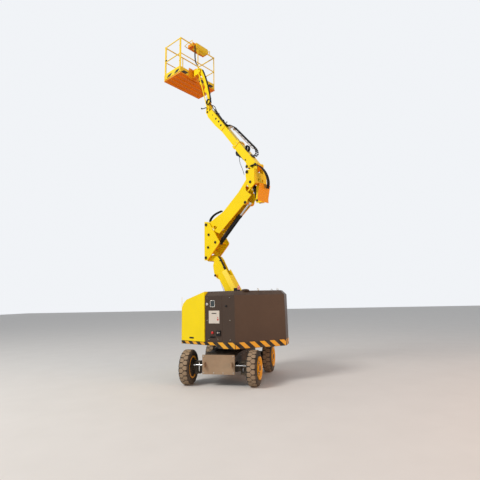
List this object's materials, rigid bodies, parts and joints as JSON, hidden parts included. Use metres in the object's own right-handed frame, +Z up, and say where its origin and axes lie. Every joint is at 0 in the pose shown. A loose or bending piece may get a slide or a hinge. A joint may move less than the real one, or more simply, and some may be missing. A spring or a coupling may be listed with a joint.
{
  "type": "articulating boom lift",
  "caption": "Self-propelled lift with a folding two-stage riser, telescoping upper boom, jib and guard-railed work platform on a four-wheel chassis.",
  "frame": {"origin": "on the ground under the slewing axis", "axes": "+X towards the steered axle, +Y to the left, +Z up; the boom parks at -117 degrees from +X"},
  "size_m": [2.9006, 3.3809, 9.3504],
  "materials": {
    "axle_black": "rough",
    "block_grey": "rough",
    "boom_paint": "gloss",
    "cover_grey": "satin",
    "deck_paint": "satin",
    "floor_steel": "satin",
    "frame_grey": "satin",
    "hood_paint": "gloss",
    "pin_black": "satin",
    "plate_tan": "satin",
    "rail_steel": "gloss",
    "rim_paint": "satin",
    "rod_chrome": "polished",
    "tyre": "dusty"
  },
  "bodies": {
    "chassis": {"chassis_frame": "frame_grey", "chassis_end_front": "plate_tan", "chassis_end_rear": "plate_tan", "front_axle": "axle_black", "rear_axle": "axle_black", "slewing_ring": "axle_black", "steer_barrel": "pin_black"},
    "steer_rod": {"steer_rod": "rod_chrome"},
    "knuckle_left": {"steering_knuckle_left": "axle_black"},
    "knuckle_right": {"steering_knuckle_right": "axle_black"},
    "wheel_front_left": {"tyre_front_left": "tyre", "rim_front_left": "rim_paint"},
    "wheel_front_right": {"tyre_front_right": "tyre", "rim_front_right": "rim_paint"},
    "wheel_rear_left": {"tyre_rear_left": "tyre", "rim_rear_left": "rim_paint"},
    "wheel_rear_right": {"tyre_rear_right": "tyre", "rim_rear_right": "rim_paint"},
    "turntable": {"turntable_deck": "deck_paint", "tail_cover": "cover_grey", "boom_pedestal": "boom_paint", "engine_block": "block_grey", "tank_block": "block_grey"},
    "hood_left_body": {"hood_left": "hood_paint"},
    "hood_right_body": {"hood_right": "hood_paint"},
    "lower_boom_body": {"lower_boom": "boom_paint"},
    "lower_link_body": {"lower_link": "boom_paint"},
    "lift_barrel": {"lift_ram_barrel": "pin_black"},
    "lift_rod": {"lift_ram_rod": "rod_chrome"},
    "knuckle_body": {"knuckle": "boom_paint"},
    "riser_body": {"riser": "boom_paint"},
    "riser_link_body": {"riser_link": "boom_paint"},
    "riser_barrel": {"riser_ram_barrel": "pin_black"},
    "riser_rod": {"riser_ram_rod": "rod_chrome"},
    "head_body": {"head": "boom_paint"},
    "main_outer_body": {"main_outer": "boom_paint"},
    "main_inner_body": {"main_inner": "boom_paint"},
    "main_barrel": {"main_ram_barrel": "pin_black"},
    "main_rod": {"main_ram_rod": "rod_chrome"},
    "jib_base_body": {"jib_base": "boom_paint"},
    "jib_body": {"jib": "boom_paint"},
    "jib_link_body": {"jib_link": "boom_paint"},
    "jib_barrel": {"jib_ram_barrel": "pin_black"},
    "jib_rod": {"jib_ram_rod": "rod_chrome"},
    "jib_end_body": {"jib_end": "boom_paint"},
    "platform": {"platform_floor": "floor_steel", "rails_near": "rail_steel", "rails_far": "rail_steel", "rails_end": "rail_steel", "console": "rail_steel"},
    "gate_body": {"gate": "rail_steel"}
  },
  "joints": [
    {"name": "slew", "type": "hinge", "parent": "chassis", "child": "turntable", "pos_m": [0, 0, 0.7], "axis": [0, 0, 1], "range_deg": [-180, 180]},
    {"name": "steer_left", "type": "hinge", "parent": "chassis", "child": "knuckle_left", "pos_m": [0.825, 0.54, 0.35], "axis": [0, 0, 1], "range_deg": [-35, 35]},
    {"name": "steer_right", "type": "hinge", "parent": "chassis", "child": "knuckle_right", "pos_m": [0.825, -0.54, 0.35], "axis": [0, 0, 1], "range_deg": [-35, 35]},
    {"name": "steer_slide", "type": "slide", "parent": "chassis", "child": "steer_rod", "axis": [0, 1, 0], "range_m": [-0.0705, 0.0705]},
    {"name": "roll_front_left", "type": "hinge", "parent": "knuckle_left", "child": "wheel_front_left", "pos_m": [0.825, 0.71, 0.35], "axis": [0, 1, 0], "continuous": true},
    {"name": "roll_front_right", "type": "hinge", "parent": "knuckle_right", "child": "wheel_front_right", "pos_m": [0.825, -0.71, 0.35], "axis": [0, 1, 0], "continuous": true},
    {"name": "roll_rear_left", "type": "hinge", "parent": "chassis", "child": "wheel_rear_left", "pos_m": [-0.825, 0.71, 0.35], "axis": [0, 1, 0], "continuous": true},
    {"name": "roll_rear_right", "type": "hinge", "parent": "chassis", "child": "wheel_rear_right", "pos_m": [-0.825, -0.71, 0.35], "axis": [0, 1, 0], "continuous": true},
    {"name": "lower_lift", "type": "hinge", "parent": "turntable", "child": "lower_boom_body", "pos_m": [0.19068, 0.37422, 1.2], "axis": [-0.891, 0.454, 0], "range_deg": [-55.9, 14.1]},
    {"name": "lower_link_turn", "type": "hinge", "parent": "turntable", "child": "lower_link_body", "pos_m": [0.227, 0.4455, 1.45], "axis": [-0.891, 0.454, 0], "range_deg": [-55.9, 14.1]},
    {"name": "lift_ram_turn", "type": "hinge", "parent": "turntable", "child": "lift_barrel", "pos_m": [0.1135, 0.22275, 0.98], "axis": [-0.891, 0.454, 0], "range_deg": [-54.94, 14.23]},
    {"name": "lift_ram_slide", "type": "slide", "parent": "lift_barrel", "child": "lift_rod", "axis": [-0.1879, -0.3688, 0.9103], "range_m": [-0.26184, 0.06679]},
    {"name": "knuckle_level", "type": "hinge", "parent": "lower_boom_body", "child": "knuckle_body", "pos_m": [-0.28601, -0.56133, 2.75], "axis": [-0.891, 0.454, 0], "range_deg": [-14.1, 55.9]},
    {"name": "riser_lift", "type": "hinge", "parent": "knuckle_body", "child": "riser_body", "pos_m": [-0.28147, -0.55242, 3.58], "axis": [0.891, -0.454, 0], "range_deg": [-27.3, 15]},
    {"name": "riser_link_turn", "type": "hinge", "parent": "knuckle_body", "child": "riser_link_body", "pos_m": [-0.24061, -0.47223, 3.315], "axis": [0.891, -0.454, 0], "range_deg": [-27.3, 15]},
    {"name": "riser_ram_turn", "type": "hinge", "parent": "knuckle_body", "child": "riser_barrel", "pos_m": [-0.1362, -0.2673, 3.1], "axis": [0.891, -0.454, 0], "range_deg": [-28, 15.61]},
    {"name": "riser_ram_slide", "type": "slide", "parent": "riser_barrel", "child": "riser_rod", "axis": [0.3401, 0.6675, 0.6625], "range_m": [-0.27285, 0.15037]},
    {"name": "head_level", "type": "hinge", "parent": "riser_body", "child": "head_body", "pos_m": [0.36773, 0.72171, 4.63], "axis": [0.891, -0.454, 0], "range_deg": [-15, 27.3]},
    {"name": "main_lift", "type": "hinge", "parent": "head_body", "child": "main_outer_body", "pos_m": [0.44491, 0.87319, 4.8], "axis": [-0.891, 0.454, 0], "range_deg": [-52.5, 22.5]},
    {"name": "main_ram_turn", "type": "hinge", "parent": "head_body", "child": "main_barrel", "pos_m": [0.43129, 0.84646, 3.95], "axis": [-0.891, 0.454, 0], "range_deg": [-3.23, 1.67]},
    {"name": "main_ram_slide", "type": "slide", "parent": "main_barrel", "child": "main_rod", "axis": [-0.1389, -0.2726, 0.952], "range_m": [-0.28229, 0.12155]},
    {"name": "telescope", "type": "slide", "parent": "main_outer_body", "child": "main_inner_body", "axis": [-0.2764, -0.5424, 0.7934], "range_m": [-0.55, 0.16]},
    {"name": "jib_base_level", "type": "hinge", "parent": "main_inner_body", "child": "jib_base_body", "pos_m": [-0.30417, -0.59697, 6.74005], "axis": [-0.891, 0.454, 0], "range_deg": [-22.5, 52.5]},
    {"name": "jib_lift", "type": "hinge", "parent": "jib_base_body", "child": "jib_body", "pos_m": [-0.29736, -0.58361, 6.96005], "axis": [-0.891, 0.454, 0], "range_deg": [-135, 4]},
    {"name": "jib_link_turn", "type": "hinge", "parent": "jib_base_body", "child": "jib_link_body", "pos_m": [-0.30462, -0.59786, 6.85405], "axis": [-0.891, 0.454, 0], "range_deg": [-135, 4]},
    {"name": "jib_ram_turn", "type": "hinge", "parent": "jib_base_body", "child": "jib_barrel", "pos_m": [-0.30644, -0.60142, 6.83205], "axis": [-0.891, 0.454, 0], "range_deg": [-127.94, 4.28]},
    {"name": "jib_ram_slide", "type": "slide", "parent": "jib_barrel", "child": "jib_rod", "axis": [-0.1001, -0.1965, 0.9754], "range_m": [-0.23247, 0.00786]},
    {"name": "jib_end_level", "type": "hinge", "parent": "jib_body", "child": "jib_end_body", "pos_m": [-0.45671, -0.89635, 8.20005], "axis": [-0.891, 0.454, 0], "range_deg": [-4, 135]},
    {"name": "platform_turn", "type": "hinge", "parent": "jib_end_body", "child": "platform", "pos_m": [-0.54479, -1.0692, 8.20005], "axis": [0, 0, 1], "range_deg": [-80, 80]},
    {"name": "gate_turn", "type": "hinge", "parent": "platform", "child": "gate_body", "pos_m": [-0.20597, -1.4461, 8.6], "axis": [0, 0, 1], "range_deg": [0, 90]},
    {"name": "hood_left_lift", "type": "hinge", "parent": "turntable", "child": "hood_left_body", "pos_m": [0.17472, -0.31349, 1.878], "axis": [-0.454, -0.891, 0], "range_deg": [0, 60]},
    {"name": "hood_right_lift", "type": "hinge", "parent": "turntable", "child": "hood_right_body", "pos_m": [-0.35632, -0.04291, 1.878], "axis": [0.454, 0.891, 0], "range_deg": [0, 60]}
  ],
  "couplings": [
    {"joint": "steer_right", "follows": "steer_left", "ratio": 1},
    {"joint": "steer_slide", "follows": "steer_left", "m_per_rad": 0.1148},
    {"joint": "lower_link_turn", "follows": "lower_lift", "ratio": 1},
    {"joint": "lift_ram_turn", "follows": "lower_lift", "ratio": 0.9739},
    {"joint": "lift_ram_slide", "follows": "lower_lift", "m_per_rad": 0.2674},
    {"joint": "knuckle_level", "follows": "lower_lift", "ratio": -1},
    {"joint": "riser_link_turn", "follows": "riser_lift", "ratio": 1},
    {"joint": "riser_ram_turn", "follows": "riser_lift", "ratio": 1.0072},
    {"joint": "riser_ram_slide", "follows": "riser_lift", "m_per_rad": 0.5705},
    {"joint": "head_level", "follows": "riser_lift", "ratio": -1},
    {"joint": "main_ram_turn", "follows": "main_lift", "ratio": 0.0519},
    {"joint": "main_ram_slide", "follows": "main_lift", "m_per_rad": 0.307},
    {"joint": "jib_base_level", "follows": "main_lift", "ratio": -1},
    {"joint": "jib_link_turn", "follows": "jib_lift", "ratio": 1},
    {"joint": "jib_ram_turn", "follows": "jib_lift", "ratio": 0.944},
    {"joint": "jib_ram_slide", "follows": "jib_lift", "m_per_rad": 0.0982},
    {"joint": "jib_end_level", "follows": "jib_lift", "ratio": -1}
  ]
}
